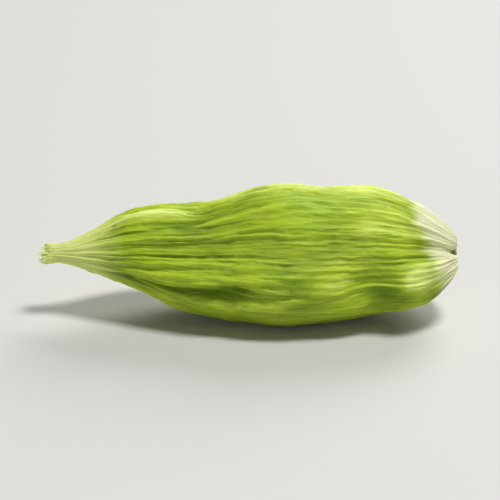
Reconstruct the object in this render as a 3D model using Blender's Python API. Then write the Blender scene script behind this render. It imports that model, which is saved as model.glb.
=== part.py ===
"""A green cardamom pod lying on its belly: one closed solid, in metres, +Z up.

The pod is the dried fruit of the cardamom plant, a capsule of three valves that grew as one piece.
It lies along X. The narrow beak, where the flower sat, is at -X, and the scar of the stalk is at +X.
Each valve bulges along a ridge of its own: one ridge is on top, one low in front and one low at the
back. Between the ridges the husk is flatter and has a shallow seam. The middle of the lowest flat is
where the pod rests. The origin is on the surface that it lies on, under the middle of its bounding box.
"""

import math

import bmesh
import bpy

MM = 0.001

# Driving dimensions, in millimetres and degrees. Angles are round the pod's axis, from the front, and
# 90 is straight up. Each pair of distances from the tip says where a change begins and where it is whole.
RIDGE_ANGLES = (90.0, -30.0, 210.0)
VALVES = len(RIDGE_ANGLES)
SEAM_ANGLES = (30.0, 150.0, 270.0)
SEAM_DEPTH = 0.08
SEAM_DEPTH_AT_STALK = 0.30
SEAM_HALF_WIDTH = 8.0
SEAM_FADES_IN = (3.0, 8.0)
SEAM_DEEPENS = (17.5, 21.5)
REST_CUT = 0.22
SEGMENTS_AROUND = 66
RING_SPACING = 0.58

# Where the husk is lower than the first height it is smooth, as on the beak and round the stalk scar.
# Where it is higher than the second it has its swellings and seams in full.
SMOOTH_BELOW, FULL_RELIEF_ABOVE = 0.6, 1.6

# What each column of STATIONS holds.
ALONG, TOP, FRONT, BACK, FLATTENING = range(5)

# Stations from the beak to the stalk, in millimetres: the distance from the tip, the height of the
# top, front and back ridges over the pod's axis, and how much lower the flats between them lie, as a
# share of that height.
STATIONS = (
    (0.40, 0.00, 0.00, 0.00, 0.00),  # bottom of the cup in the beak's end
    (0.28, 0.22, 0.22, 0.22, 0.00),
    (0.00, 0.33, 0.33, 0.33, 0.00),  # rim of the beak
    (0.25, 0.47, 0.45, 0.45, 0.00),
    (0.95, 0.50, 0.48, 0.50, 0.00),
    (1.85, 0.76, 0.70, 0.74, 0.03),
    (3.20, 1.56, 1.24, 1.42, 0.08),
    (4.45, 2.34, 1.76, 2.10, 0.11),
    (5.60, 2.62, 2.20, 2.50, 0.13),
    (7.20, 2.66, 2.92, 2.95, 0.13),
    (8.60, 2.70, 3.36, 3.35, 0.13),
    (9.80, 3.10, 3.58, 3.70, 0.13),
    (10.90, 3.62, 3.88, 4.06, 0.13),
    (12.40, 3.90, 4.20, 4.22, 0.13),
    (13.90, 3.94, 4.28, 4.20, 0.13),
    (15.30, 3.74, 4.04, 4.12, 0.13),
    (16.70, 3.82, 3.72, 3.92, 0.13),
    (18.10, 3.72, 3.54, 3.66, 0.13),
    (19.50, 3.16, 3.38, 3.30, 0.14),
    (20.70, 2.46, 3.00, 2.74, 0.16),
    (21.70, 1.60, 2.10, 1.94, 0.18),
    (22.35, 1.00, 1.20, 1.14, 0.18),
    (22.50, 0.72, 0.78, 0.72, 0.14),  # the valves' rounded ends
    (22.25, 0.52, 0.54, 0.52, 0.06),
    (22.02, 0.40, 0.40, 0.40, 0.00),  # bottom of the hollow round the stalk scar
    (22.18, 0.30, 0.30, 0.30, 0.00),
    (22.30, 0.24, 0.24, 0.24, 0.00),
    (22.30, 0.00, 0.00, 0.00, 0.00),  # middle of the stalk scar
)

# Places where seeds swell the husk, or where it has sunk in between them: the distance from the tip
# in millimetres, the angle in degrees, the rise in millimetres (a sunken place is negative), and the
# half-size along the pod in millimetres and around it in degrees.
SWELLINGS = (
    (17.6, -14.0, -0.42, 1.00, 17.0),
    (19.6, -22.0, 0.22, 1.00, 20.0),
    (14.2, 52.0, 0.14, 1.50, 22.0),
    (10.2, 12.0, 0.12, 1.40, 20.0),
    (6.4, 48.0, -0.14, 1.30, 20.0),
    (16.8, 138.0, -0.22, 1.20, 22.0),
    (12.9, 166.0, 0.16, 1.50, 20.0),
    (8.3, 196.0, 0.14, 1.40, 20.0),
    (19.0, 205.0, 0.16, 1.10, 18.0),
)

HUSK_GREEN = (0.32, 0.42, 0.06, 1.0)
HUSK_ROUGHNESS = 0.5


def steepness(before, here, after, column):
    """Slope of one column at a station, per millimetre of outline, from the stations beside it."""
    step_in = outline_step(before, here)
    step_out = outline_step(here, after)
    slope_in = (here[column] - before[column]) / step_in
    slope_out = (after[column] - here[column]) / step_out
    return (slope_in * step_out + slope_out * step_in) / (step_in + step_out)


def outline_step(first, second):
    """Length of outline between two stations, along the mean of the three ridges."""
    rise = sum(second[TOP : BACK + 1]) - sum(first[TOP : BACK + 1])
    return math.hypot(second[ALONG] - first[ALONG], rise / VALVES)


def between(index, share):
    """The five columns at a share of the way from station index to the next, on a smooth curve."""
    last = len(STATIONS) - 1
    first, second = STATIONS[index], STATIONS[index + 1]
    step = outline_step(first, second)
    columns = []
    for column in range(len(first)):
        straight = (second[column] - first[column]) / step
        start = straight if index == 0 else steepness(STATIONS[index - 1], first, second, column)
        end = straight if index + 1 == last else steepness(first, second, STATIONS[index + 2], column)
        cube, square = share**3, share**2
        columns.append(
            (2 * cube - 3 * square + 1) * first[column]
            + (cube - 2 * square + share) * step * start
            + (3 * square - 2 * cube) * second[column]
            + (cube - square) * step * end
        )
    return columns


def ring_stations():
    """The columns for every ring of points, without the two closed ends."""
    rings = []
    for index in range(len(STATIONS) - 1):
        steps = max(1, round(outline_step(STATIONS[index], STATIONS[index + 1]) / RING_SPACING))
        rings += [between(index, step / steps) for step in range(steps)]
    return rings[1:]


def fade(value, low, high):
    """0 below low, 1 above high, and a smooth change between."""
    share = min(max((value - low) / (high - low), 0.0), 1.0)
    return share * share * (3 - 2 * share)


def turn_between(first, second):
    """The smallest angle between two directions, in degrees."""
    return (first - second + 180.0) % 360.0 - 180.0


def swelling(along, angle):
    """How far the swellings and sunken places lift the husk at a point, in millimetres."""
    lift = 0.0
    for centre, side, rise, length, spread in SWELLINGS:
        away = ((along - centre) / length) ** 2 + (turn_between(angle, side) / spread) ** 2
        lift += rise * math.exp(-away)
    return lift


def seam(along, angle):
    """Depth of the three seams at a point, in millimetres: shallow on the body, deeper at the stalk."""
    off = min(abs(turn_between(angle, side)) for side in SEAM_ANGLES)
    groove = max(0.0, 1 - off / SEAM_HALF_WIDTH)
    extra = (SEAM_DEPTH_AT_STALK - SEAM_DEPTH) * fade(along, *SEAM_DEEPENS)
    return (SEAM_DEPTH * fade(along, *SEAM_FADES_IN) + extra) * groove


def height(station, angle):
    """Distance of the husk from the pod's axis at one angle of a ring, in millimetres."""
    ridges = station[TOP : BACK + 1]
    shares = [(1 + 2 * math.cos(math.radians(angle - side))) / VALVES for side in RIDGE_ANGLES]
    plain = sum(share * ridge for share, ridge in zip(shares, ridges))
    off_ridge = (1 - math.cos(math.radians(VALVES * (angle - RIDGE_ANGLES[0])))) / 2
    relief = fade(plain, SMOOTH_BELOW, FULL_RELIEF_ABOVE)
    lift = swelling(station[ALONG], angle) - seam(station[ALONG], angle)
    return plain * (1 - station[FLATTENING] * off_ridge) + relief * lift


def husk_point(station, angle):
    """A point of the husk: the beak's tip is at x = 0, the axis is at z = 0 and -Y is the front."""
    reach = height(station, angle)
    turn = math.radians(angle)
    return [station[ALONG], -reach * math.cos(turn), reach * math.sin(turn)]


def husk_rings():
    """Rings of points from beak to stalk, in millimetres, pressed flat where the pod rests."""
    angles = [360.0 * step / SEGMENTS_AROUND for step in range(SEGMENTS_AROUND)]
    rings = [[husk_point(station, angle) for angle in angles] for station in ring_stations()]
    lowest = min(point[2] for ring in rings for point in ring) + REST_CUT
    for ring in rings:
        for point in ring:
            point[2] = max(point[2], lowest) - lowest
    return rings, -lowest


def middle_of_box(rings, axis):
    """Middle of the points' range along one axis."""
    values = [point[axis] for ring in rings for point in ring]
    return (min(values) + max(values)) / 2


def husk_mesh():
    """The closed husk, in metres, with its origin under the middle of its bounding box."""
    rings, axis_height = husk_rings()
    shift = (middle_of_box(rings, 0), middle_of_box(rings, 1), 0.0)

    def place(point):
        return [(value - offset) * MM for value, offset in zip(point, shift)]

    shape = bmesh.new()
    loops = [[shape.verts.new(place(point)) for point in ring] for ring in rings]
    cup_bottom = shape.verts.new(place((STATIONS[0][ALONG], 0.0, axis_height)))
    scar_middle = shape.verts.new(place((STATIONS[-1][ALONG], 0.0, axis_height)))
    for step in range(SEGMENTS_AROUND):
        following = (step + 1) % SEGMENTS_AROUND
        for ring, next_ring in zip(loops, loops[1:]):
            shape.faces.new((ring[step], ring[following], next_ring[following], next_ring[step]))
        shape.faces.new((cup_bottom, loops[0][following], loops[0][step]))
        shape.faces.new((scar_middle, loops[-1][step], loops[-1][following]))
    bmesh.ops.recalc_face_normals(shape, faces=shape.faces)
    mesh = bpy.data.meshes.new("cardamom_pod")
    shape.to_mesh(mesh)
    shape.free()
    mesh.shade_smooth()
    return mesh


def husk_material():
    """Dry green husk."""
    material = bpy.data.materials.new("dried_green_husk")
    material.use_nodes = True
    shader = material.node_tree.nodes["Principled BSDF"]
    shader.inputs["Base Color"].default_value = HUSK_GREEN
    shader.inputs["Roughness"].default_value = HUSK_ROUGHNESS
    shader.inputs["Metallic"].default_value = 0.0
    return material


def clear_scene():
    """Remove what the startup file brought."""
    for existing in list(bpy.data.objects):
        bpy.data.objects.remove(existing, do_unlink=True)


def main():
    clear_scene()
    mesh = husk_mesh()
    mesh.materials.append(husk_material())
    pod = bpy.data.objects.new("cardamom_pod", mesh)
    bpy.context.scene.collection.objects.link(pod)


main()
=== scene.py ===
# %% [markdown]
# # A green cardamom pod
#
# A cardamom pod is the dried fruit of a plant of the ginger family. It is a papery capsule of three
# valves. While it dries it shrinks on to the seeds, and the stiff fibres in its wall stay behind as
# pale ribs that run from the beak, where the flower sat, to the scar of the stalk.
#
# The frame is a plain closed solid with the pod's real size and place: it lies along X on its belly,
# with the beak at -X. This script grows the surface of the real husk on that solid.

# %% Load the frame
import math

import bpy
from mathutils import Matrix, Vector


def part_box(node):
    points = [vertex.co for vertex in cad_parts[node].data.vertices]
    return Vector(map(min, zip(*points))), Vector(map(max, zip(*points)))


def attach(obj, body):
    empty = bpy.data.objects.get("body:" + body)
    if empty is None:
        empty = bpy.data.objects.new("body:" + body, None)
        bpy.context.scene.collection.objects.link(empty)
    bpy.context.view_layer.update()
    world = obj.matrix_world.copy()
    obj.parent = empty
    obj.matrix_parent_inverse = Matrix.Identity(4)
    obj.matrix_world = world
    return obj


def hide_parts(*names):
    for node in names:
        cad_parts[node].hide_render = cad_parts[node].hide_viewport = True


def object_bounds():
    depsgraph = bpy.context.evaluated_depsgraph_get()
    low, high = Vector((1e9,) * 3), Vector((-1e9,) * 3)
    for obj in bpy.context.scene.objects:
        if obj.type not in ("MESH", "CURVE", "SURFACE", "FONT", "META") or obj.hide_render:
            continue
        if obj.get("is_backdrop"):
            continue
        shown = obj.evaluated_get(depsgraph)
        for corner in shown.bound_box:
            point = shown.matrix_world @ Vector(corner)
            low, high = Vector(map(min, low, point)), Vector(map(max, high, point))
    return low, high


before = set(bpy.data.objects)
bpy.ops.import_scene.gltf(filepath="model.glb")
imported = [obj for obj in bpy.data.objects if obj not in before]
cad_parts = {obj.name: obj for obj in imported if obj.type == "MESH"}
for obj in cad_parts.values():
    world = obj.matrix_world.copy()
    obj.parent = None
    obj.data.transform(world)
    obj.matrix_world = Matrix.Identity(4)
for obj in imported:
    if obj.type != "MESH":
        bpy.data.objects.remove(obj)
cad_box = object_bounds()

MM = 0.001

pod_low, pod_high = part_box("cardamom_pod")
pod_size = pod_high - pod_low
print("The pod measures", [round(side / MM, 2) for side in pod_size], "mm")

# %% [markdown]
# The ribs and the colours follow the pod's own axis, which is a little below the middle of its box.
# The beak is round and thin, so the middle of its first half millimetre is a point of that axis.

# %% Find the pod's axis
BEAK_SAMPLE = 0.5 * MM

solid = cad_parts["cardamom_pod"]
beak_points = [v.co for v in solid.data.vertices if v.co.x < pod_low.x + BEAK_SAMPLE]
axis_point = sum(beak_points, Vector()) / len(beak_points)
axis_point.x = pod_low.x
below_middle = (pod_low.z + pod_high.z) / 2 - axis_point.z
print("The axis is", round(axis_point.z / MM, 2), "mm above the table and", end=" ")
print(round(below_middle / MM, 2), "mm below the middle of the pod's box")

# %% [markdown]
# Everything below is made of nodes, in trees for shapes and in trees for finishes. One function adds
# a node, gives it its settings and joins it to the nodes before it, so that a formula reads as a line
# of code. A node that is given as an input stands for its first output.

# %% Add nodes to a tree
MATH = "ShaderNodeMath"
VECTOR = "ShaderNodeVectorMath"
RANGE = "ShaderNodeMapRange"
CURVE = "ShaderNodeFloatCurve"
NOISE = "ShaderNodeTexNoise"
MIX = "ShaderNodeMix"


def add(tree, kind, inputs=(), **settings):
    """Add a node. Its inputs come in their order, or by name; None leaves one as it is."""
    made = tree.nodes.new(kind)
    for name, value in settings.items():
        setattr(made, name, value)
    pairs = inputs.items() if isinstance(inputs, dict) else enumerate(inputs)
    for key, value in pairs:
        if isinstance(value, bpy.types.Node):
            value = next(socket for socket in value.outputs if socket.enabled)
        if isinstance(value, bpy.types.NodeSocket):
            tree.links.new(value, made.inputs[key])
        elif value is not None:
            made.inputs[key].default_value = value
    return made


def draw_curve(node, points, top=1.0):
    """Draw a Float Curve through points whose second number runs from 0 to top."""
    line = node.mapping.curves[0]
    for index, (across, up) in enumerate(points):
        if index < 2:
            line.points[index].location = (across, up / top)
        else:
            line.points.new(across, up / top)
    node.mapping.update()
    return node


# %% [markdown]
# A pattern on a husk is long and narrow, because the husk grew lengthwise. So patterns don't read
# the plain position but a flow coordinate in millimetres: how far along the pod, and two numbers for
# the way round it. Lines of it run together at the beak and at the stalk, as the fibres do.

# %% Noise that follows the husk
FLOW_RADIUS = 4.0


def husk_noise(tree, flow, along, around, seed, detail=2.0):
    """Noise from 0 to 1, with blotches of the given millimetres along and around the pod."""
    spread = add(tree, VECTOR, [flow, (along, around, around)], operation="DIVIDE")
    inputs = {"Vector": spread, "W": seed, "Scale": 1.0, "Detail": detail}
    return add(tree, NOISE, inputs, noise_dimensions="4D")


def near(tree, value, centre, reach):
    """1 where value is at centre, falling smoothly to 0 at a distance of reach."""
    off = add(tree, MATH, [value, centre], operation="SUBTRACT")
    off = add(tree, MATH, [off], operation="ABSOLUTE")
    return add(tree, RANGE, [off, 0.0, reach, 1.0, 0.0], interpolation_type="SMOOTHSTEP")


def near_turn(tree, turn, degrees, reach):
    """1 at an angle round the pod, falling smoothly to 0 at reach degrees to both sides of it."""
    off = add(tree, MATH, [turn, math.radians(degrees)], operation="SUBTRACT")
    off = add(tree, MATH, [off, math.pi, -math.pi], operation="WRAP")
    return near(tree, off, 0.0, math.radians(reach))


# %% [markdown]
# ## The husk
#
# Modelling some twenty wandering ribs by hand would be slow, and each change of mind would start it
# again. A Geometry Nodes tree grows them by rule. Its sizes are named inputs, in millimetres, and
# every random choice has a fixed seed, so the same pod grows each time.

# %% Name the husk's sizes
POD_LENGTH = pod_size.x / MM

HUSK_SIZES = {
    "Solid": ("NodeSocketObject", solid),
    "Around": ("NodeSocketInt", 372),
    "Along": ("NodeSocketInt", 256),
    "Rib count": ("NodeSocketFloat", 21.0),
    "Rib height": ("NodeSocketFloat", 0.34),
    "Rib wander": ("NodeSocketFloat", 1.0),
    "Vein count": ("NodeSocketFloat", 60.0),
    "Vein height": ("NodeSocketFloat", 0.20),
    "Striation height": ("NodeSocketFloat", 0.12),
    "Crepe height": ("NodeSocketFloat", 0.09),
    "Seed bulge": ("NodeSocketFloat", 0.30),
    "Seam depth": ("NodeSocketFloat", 0.12),
    "Sunk below the solid": ("NodeSocketFloat", 0.12),
    "Seed": ("NodeSocketFloat", 4.0),
    "Finish": ("NodeSocketMaterial", None),
}
print("The husk's tree gets", len(HUSK_SIZES), "named inputs")


# %% Start, end and run a tree
def new_tree(name, sizes):
    """A Geometry Nodes tree, and the node that holds its named inputs."""
    tree = bpy.data.node_groups.new(name, "GeometryNodeTree")
    tree.interface.new_socket("Geometry", in_out="OUTPUT", socket_type="NodeSocketGeometry")
    for label, size in sizes.items():
        tree.interface.new_socket(label, in_out="INPUT", socket_type=size[0])
    return tree, tree.nodes.new("NodeGroupInput").outputs


def finish_tree(tree, shape, finish):
    """End a tree as every tree here ends: smooth, with nothing left as an instance, and finished."""
    shape = add(tree, "GeometryNodeSetShadeSmooth", [shape])
    shape = add(tree, "GeometryNodeRealizeInstances", [shape])
    shape = add(tree, "GeometryNodeSetMaterial", {"Geometry": shape, "Material": finish})
    add(tree, "NodeGroupOutput", [shape])


def grow(name, tree, sizes):
    """Run a tree and keep what it makes as a plain mesh at the origin."""
    piece = bpy.data.objects.new(name, bpy.data.meshes.new(name))
    bpy.context.scene.collection.objects.link(piece)
    modifier = piece.modifiers.new("grow", "NODES")
    modifier.node_group = tree
    for item in tree.interface.items_tree:
        if item.in_out == "INPUT":
            modifier[item.identifier] = sizes[item.name][1]
    graph = bpy.context.evaluated_depsgraph_get()
    grown = piece.evaluated_get(graph)
    mesh = bpy.data.meshes.new_from_object(grown, preserve_all_data_layers=True, depsgraph=graph)
    piece.modifiers.clear()
    piece.data = mesh
    mesh.name = name
    print(name, "has", sum(len(face.vertices) - 2 for face in mesh.polygons), "triangles")
    return piece


husk_tree, husk_size = new_tree("ribbed_husk", HUSK_SIZES)
print("The husk's tree starts with", len(husk_tree.nodes), "node")

# %% [markdown]
# The mesh starts as a cylinder lattice, closed by a fan at each end, so it has no open seam and no
# open pole. It is blown up to a loose cage round the solid, and each of its points is then shot at
# the pod's axis and stays where it meets the solid. Near both ends the shots slant, so that they
# reach into the cup of the beak and into the hollow round the stalk scar.

# %% Wrap a lattice round the solid
CAGE = (
    # share of the rows, millimetres along the pod, millimetres from its axis
    (0.00, -0.6, 0.0),
    (0.07, -0.6, 0.42),
    (0.17, 1.7, 1.0),
    (0.28, 5.0, 3.9),
    (0.38, 8.5, 4.8),
    (0.82, 19.0, 4.8),
    (0.90, 22.4, 2.7),
    (0.94, 23.1, 1.0),
    (1.00, 23.1, 0.0),
)
CAGE_START, CAGE_END, CAGE_RADIUS = CAGE[0][1], CAGE[-1][1], 5.0

lattice = add(
    husk_tree,
    "GeometryNodeMeshCylinder",
    {"Vertices": husk_size["Around"], "Side Segments": husk_size["Along"], "Radius": 1.0, "Depth": 1.0},
    fill_type="TRIANGLE_FAN",
)
corner = add(husk_tree, "ShaderNodeSeparateXYZ", [add(husk_tree, "GeometryNodeInputPosition")])
row = add(husk_tree, MATH, [corner.outputs["Z"], 0.5], operation="ADD")

cage_share = add(husk_tree, CURVE, {"Value": row})
draw_curve(cage_share, [(share, along - CAGE_START) for share, along, out in CAGE], CAGE_END - CAGE_START)
cage_along = add(husk_tree, RANGE, [cage_share, 0.0, 1.0, CAGE_START * MM, CAGE_END * MM])
cage_out = add(husk_tree, CURVE, {"Value": row})
draw_curve(cage_out, [(share, out) for share, along, out in CAGE], CAGE_RADIUS)
cage_out = add(husk_tree, MATH, [cage_out, CAGE_RADIUS * MM], operation="MULTIPLY")

frontwards = add(husk_tree, MATH, [corner.outputs["X"], cage_out], operation="MULTIPLY")
frontwards = add(husk_tree, MATH, [frontwards, -1.0], operation="MULTIPLY")
upwards = add(husk_tree, MATH, [corner.outputs["Y"], cage_out], operation="MULTIPLY")
cage_point = add(husk_tree, "ShaderNodeCombineXYZ", [cage_along, frontwards, upwards])
cage_point = add(husk_tree, VECTOR, [cage_point, axis_point], operation="ADD")
print("The cage has", HUSK_SIZES["Around"][1], "points round it and", HUSK_SIZES["Along"][1], "steps along")

# %% Shoot the cage at the pod's axis
FOCUS_RANGE = (2.2, POD_LENGTH - 2.1)

focus = add(husk_tree, "ShaderNodeClamp", [cage_along, FOCUS_RANGE[0] * MM, FOCUS_RANGE[1] * MM])
focus = add(husk_tree, "ShaderNodeCombineXYZ", [focus])
focus = add(husk_tree, VECTOR, [focus, axis_point], operation="ADD")
aim = add(husk_tree, VECTOR, [focus, cage_point], operation="SUBTRACT")

solid_shape = add(husk_tree, "GeometryNodeObjectInfo", [husk_size["Solid"]])
shot = add(
    husk_tree,
    "GeometryNodeRaycast",
    {"Target Geometry": solid_shape.outputs["Geometry"], "Source Position": cage_point, "Ray Direction": aim},
)
wrapped = add(
    husk_tree, "GeometryNodeSetPosition", {"Geometry": lattice, "Position": shot.outputs["Hit Position"]}
)
wrapped = add(husk_tree, "GeometryNodeFlipFaces", [wrapped])
print("The shots aim at the axis from", FOCUS_RANGE[0], "to", round(FOCUS_RANGE[1], 1), "mm along the pod")

# %% [markdown]
# The solid has flat facets half a millimetre wide. Blurring the positions rounds them off. At the
# beak and at the stalk, where the shape itself is that small, the blur is weak. Each point then keeps
# its place along and round the axis, in millimetres, for the patterns to read.


# %% Tell where a point is
def pod_place(tree):
    """Millimetres along the pod, out from its axis, and the two directions that are across it."""
    here = add(tree, VECTOR, [add(tree, "GeometryNodeInputPosition"), axis_point], operation="SUBTRACT")
    here = add(tree, VECTOR, [here, (1 / MM, -1 / MM, 1 / MM)], operation="MULTIPLY")
    parts = add(tree, "ShaderNodeSeparateXYZ", [here])
    across = add(tree, VECTOR, [here, (0.0, 1.0, 1.0)], operation="MULTIPLY")
    out = add(tree, VECTOR, [across], operation="LENGTH")
    return parts.outputs["X"], out.outputs["Value"], parts.outputs["Y"], parts.outputs["Z"]


def round_the_axis(tree, along, turn, out):
    """Millimetres along, to the front and up, of a place at an angle round the pod's axis."""
    front = add(tree, MATH, [add(tree, MATH, [turn], operation="COSINE"), out], operation="MULTIPLY")
    up = add(tree, MATH, [add(tree, MATH, [turn], operation="SINE"), out], operation="MULTIPLY")
    return add(tree, "ShaderNodeCombineXYZ", [along, front, up])


def in_the_frame(tree, place):
    """Turn millimetres along, to the front and up into a place in the frame."""
    place = add(tree, VECTOR, [place, (MM, -MM, MM)], operation="MULTIPLY")
    return add(tree, VECTOR, [place, axis_point], operation="ADD")


def store(tree, shape, name, value, kind="FLOAT"):
    """Keep a value on every point under a name, for later nodes and for the finish."""
    inputs = {"Geometry": shape, "Name": name, "Value": value}
    return add(tree, "GeometryNodeStoreNamedAttribute", inputs, data_type=kind)


# %% Smooth the facets away and store where each point is
FACET_BLUR_STEPS = 36
# from and to these millimetres off the axis, the blur grows from this share to the whole of it
BLUR_SHARE = (0.45, 1.6, 0.12, 1.0)

along, out, front, up = pod_place(husk_tree)
weight = add(husk_tree, RANGE, [out, *BLUR_SHARE], interpolation_type="SMOOTHSTEP")
smoothed = add(
    husk_tree,
    "GeometryNodeBlurAttribute",
    {
        "Value": add(husk_tree, "GeometryNodeInputPosition"),
        "Iterations": FACET_BLUR_STEPS,
        "Weight": weight,
    },
    data_type="FLOAT_VECTOR",
)
smooth_husk = add(husk_tree, "GeometryNodeSetPosition", {"Geometry": wrapped, "Position": smoothed})

turn = add(husk_tree, MATH, [up, front], operation="ARCTAN2")
flow_here = round_the_axis(husk_tree, along, turn, FLOW_RADIUS)

kept = store(husk_tree, smooth_husk, "flow", flow_here, "FLOAT_VECTOR")
kept = store(husk_tree, kept, "turn", turn)
kept = store(husk_tree, kept, "out", out)

flow = add(husk_tree, "GeometryNodeInputNamedAttribute", ["flow"], data_type="FLOAT_VECTOR").outputs[0]
turn = add(husk_tree, "GeometryNodeInputNamedAttribute", ["turn"], data_type="FLOAT").outputs[0]
out = add(husk_tree, "GeometryNodeInputNamedAttribute", ["out"], data_type="FLOAT").outputs[0]
along = add(husk_tree, "ShaderNodeSeparateXYZ", [flow]).outputs["X"]
print("The facets are blurred in", FACET_BLUR_STEPS, "steps")

# %% [markdown]
# The beak is what is left of the flower's tube, torn off when the pod was dried. Its rim has a long
# point low at the front and a short one on top, with ragged husk between. At the other end the three
# valves meet round the stalk scar, and each seam leaves a notch between two of their rounded ends.

# %% Tear the beak
TORN_BACK = 0.42
TEAR_ROUGHNESS = 0.35
# degrees round, degrees to each side, length as a share of the longest
BEAK_POINTS = ((-38.0, 62.0, 1.0), (104.0, 46.0, 0.55))

ragged = husk_noise(husk_tree, flow, 3.0, 1.1, 11.0)
points = add(husk_tree, MATH, [ragged, TEAR_ROUGHNESS], operation="MULTIPLY")
for degrees, reach, length in BEAK_POINTS:
    point = near_turn(husk_tree, turn, degrees, reach)
    points = add(husk_tree, MATH, [point, length, points], operation="MULTIPLY_ADD")
torn = add(husk_tree, RANGE, [points, 0.0, 1.1, TORN_BACK * MM, 0.0])
at_rim = add(husk_tree, RANGE, [along, 0.1, 1.3, 1.0, 0.0], interpolation_type="SMOOTHSTEP")
off_axis = add(husk_tree, RANGE, [out, 0.05, 0.3, 0.0, 1.0], interpolation_type="SMOOTHSTEP")
at_rim = add(husk_tree, MATH, [at_rim, off_axis], operation="MULTIPLY")
beak_shift = add(husk_tree, MATH, [torn, at_rim], operation="MULTIPLY")
print("The torn beak has", len(BEAK_POINTS), "points")

# %% Notch the valves' ends
VALVES = 3.0
SEAM_TURN = math.radians(90.0)
# degrees round and to each side of the valve at the back, which ends short of the others
BACK_VALVE = (200.0, 70.0)
END_ZONE = (POD_LENGTH - 1.2, POD_LENGTH - 0.1)
NOTCH_DEPTH = 0.34

valve_turns = add(husk_tree, MATH, [turn, VALVES, -SEAM_TURN], operation="MULTIPLY_ADD")
valve_turns = add(husk_tree, MATH, [valve_turns, math.pi, -math.pi], operation="WRAP")
off_seam = add(husk_tree, MATH, [valve_turns], operation="ABSOLUTE")
seam_end = add(husk_tree, RANGE, [off_seam, 0.1, 1.0, 1.0, 0.0], interpolation_type="SMOOTHSTEP")
back_valve = near_turn(husk_tree, turn, *BACK_VALVE)
notch = add(husk_tree, MATH, [seam_end, back_valve], operation="MAXIMUM")
at_end = add(husk_tree, RANGE, [along, *END_ZONE, 0.0, 1.0], interpolation_type="SMOOTHSTEP")
on_lip = add(husk_tree, RANGE, [out, 0.3, 0.55, 0.0, 1.0], interpolation_type="SMOOTHSTEP")
at_end = add(husk_tree, MATH, [at_end, on_lip], operation="MULTIPLY")
notch = add(husk_tree, MATH, [notch, at_end], operation="MULTIPLY")
end_shift = add(husk_tree, MATH, [notch, -NOTCH_DEPTH * MM], operation="MULTIPLY")
print("The notches at the", round(VALVES), "seams are up to", NOTCH_DEPTH, "mm deep")

# %% Flare the beak and move the points
BEAK_FLARE = 0.20

flared = add(husk_tree, RANGE, [along, 0.0, 1.1, 1.0, 0.0], interpolation_type="SMOOTHSTEP")
flared = add(husk_tree, MATH, [flared, off_axis], operation="MULTIPLY")
flared = add(husk_tree, MATH, [flared, points], operation="MULTIPLY")
flared = add(husk_tree, MATH, [flared, BEAK_FLARE * MM], operation="MULTIPLY")
across = add(husk_tree, VECTOR, [flow, (0.0, -1 / FLOW_RADIUS, 1 / FLOW_RADIUS)], operation="MULTIPLY")
flare_shift = add(husk_tree, VECTOR, {0: across, "Scale": flared}, operation="SCALE")

shift = add(husk_tree, MATH, [beak_shift, end_shift], operation="ADD")
shift = add(husk_tree, "ShaderNodeCombineXYZ", [shift])
shift = add(husk_tree, VECTOR, [shift, flare_shift], operation="ADD")
torn_husk = add(husk_tree, "GeometryNodeSetPosition", {"Geometry": kept, "Offset": shift})
print("The beak flares by about", BEAK_FLARE, "mm at its long point")

# %% [markdown]
# A rib is a sharp crest with a wider hollow beside it, because the husk sank in between its stiff
# veins. The way round the pod is counted in ribs, and slow noise makes the count run ahead or lag, so
# that the ribs wander, part and close up. Each rib gets its own strength by lot. The same function
# grows the strong ribs, which show most from the beak to the shoulder, and the fine veins between.

# %% Describe the crests
RIB_CUT = ((0.0, 1.0), (0.14, 0.84), (0.32, 0.42), (0.55, 0.14), (0.8, 0.02), (1.0, 0.0))
RIB_ALONG = (
    # share of the pod's length, strength of the ribs there
    (0.0, 0.35),
    (0.1, 0.9),
    (0.2, 1.0),
    (0.38, 1.0),
    (0.5, 0.55),
    (0.85, 0.5),
    (0.95, 0.9),
    (1.0, 0.4),
)
VEIN_CUT = ((0.0, 1.0), (0.25, 0.72), (0.5, 0.25), (0.75, 0.05), (1.0, 0.0))


def wavering(tree, along, around, seed):
    """Noise of the given size in millimetres that swings from about -0.5 to 0.5."""
    return add(tree, MATH, [husk_noise(tree, flow, along, around, seed), 0.5], operation="SUBTRACT")


def crests(tree, count, wander, cut, weakest):
    """Veins that run lengthwise: up to 1 on each crest, and 0 in the hollows between."""
    in_turns = add(tree, MATH, [turn, 2 * math.pi], operation="DIVIDE")
    counted = add(tree, MATH, [in_turns, count, wander], operation="MULTIPLY_ADD")
    counted = add(tree, MATH, [counted, count, 0.0], operation="WRAP")
    number = add(tree, MATH, [counted], operation="FLOOR")
    lot = add(tree, "ShaderNodeTexWhiteNoise", {"W": number}, noise_dimensions="1D")
    strength = add(tree, RANGE, [lot, 0.0, 1.0, weakest, 1.0])
    off_crest = add(tree, MATH, [add(tree, MATH, [counted], operation="FRACT"), 0.5], operation="SUBTRACT")
    off_crest = add(tree, MATH, [off_crest], operation="ABSOLUTE")
    off_crest = add(tree, MATH, [off_crest, 2.0], operation="MULTIPLY")
    crest = draw_curve(add(tree, CURVE, {"Value": off_crest}), cut)
    return add(tree, MATH, [crest, strength], operation="MULTIPLY")


# %% Grow the ribs
# how far the middling and the fine noise swing a rib in all, in spaces between ribs
RIB_WOBBLE, RIB_SHIVER = 0.3, 0.14
WEAKEST_RIB = 0.3

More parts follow.
